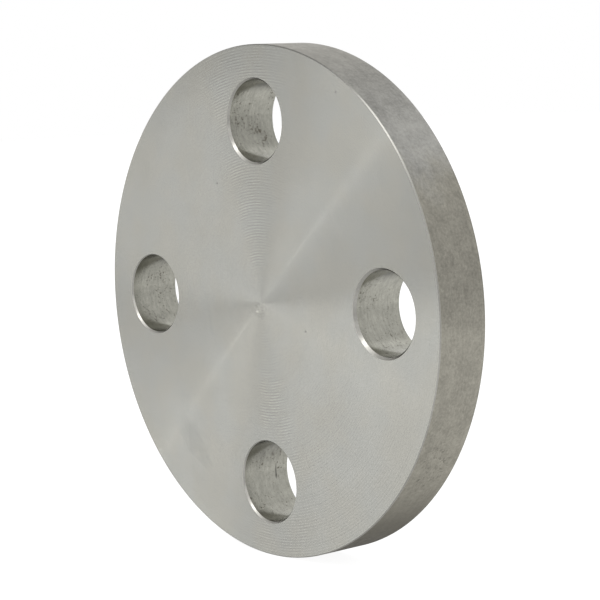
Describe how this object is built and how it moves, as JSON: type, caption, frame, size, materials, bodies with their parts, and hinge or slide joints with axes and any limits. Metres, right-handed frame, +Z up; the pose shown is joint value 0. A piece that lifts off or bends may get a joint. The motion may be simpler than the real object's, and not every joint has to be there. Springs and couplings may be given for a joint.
{
  "type": "blind flange",
  "caption": "Flat-faced blind flange: a solid turned steel disc with bolt holes round its edge, bolted over the end of a pipe or valve to close it",
  "frame": {"origin": "centre of the sealing face, the turned face that the gasket lies on", "axes": "-Y is the pipe axis, out of the sealing face; +Z is up, through the centre of one bolt hole; +X is to the right seen along +Y, through another"},
  "size_m": [0.099, 0.0112, 0.099],
  "materials": {
    "turned_stainless_steel": "bare stainless steel: faced flat with fine concentric turning marks, duller stained rim, bored holes with bright 45 degree chamfers"
  },
  "bodies": {
    "root": {"blind_flange": "turned_stainless_steel"}
  },
  "joints": []
}
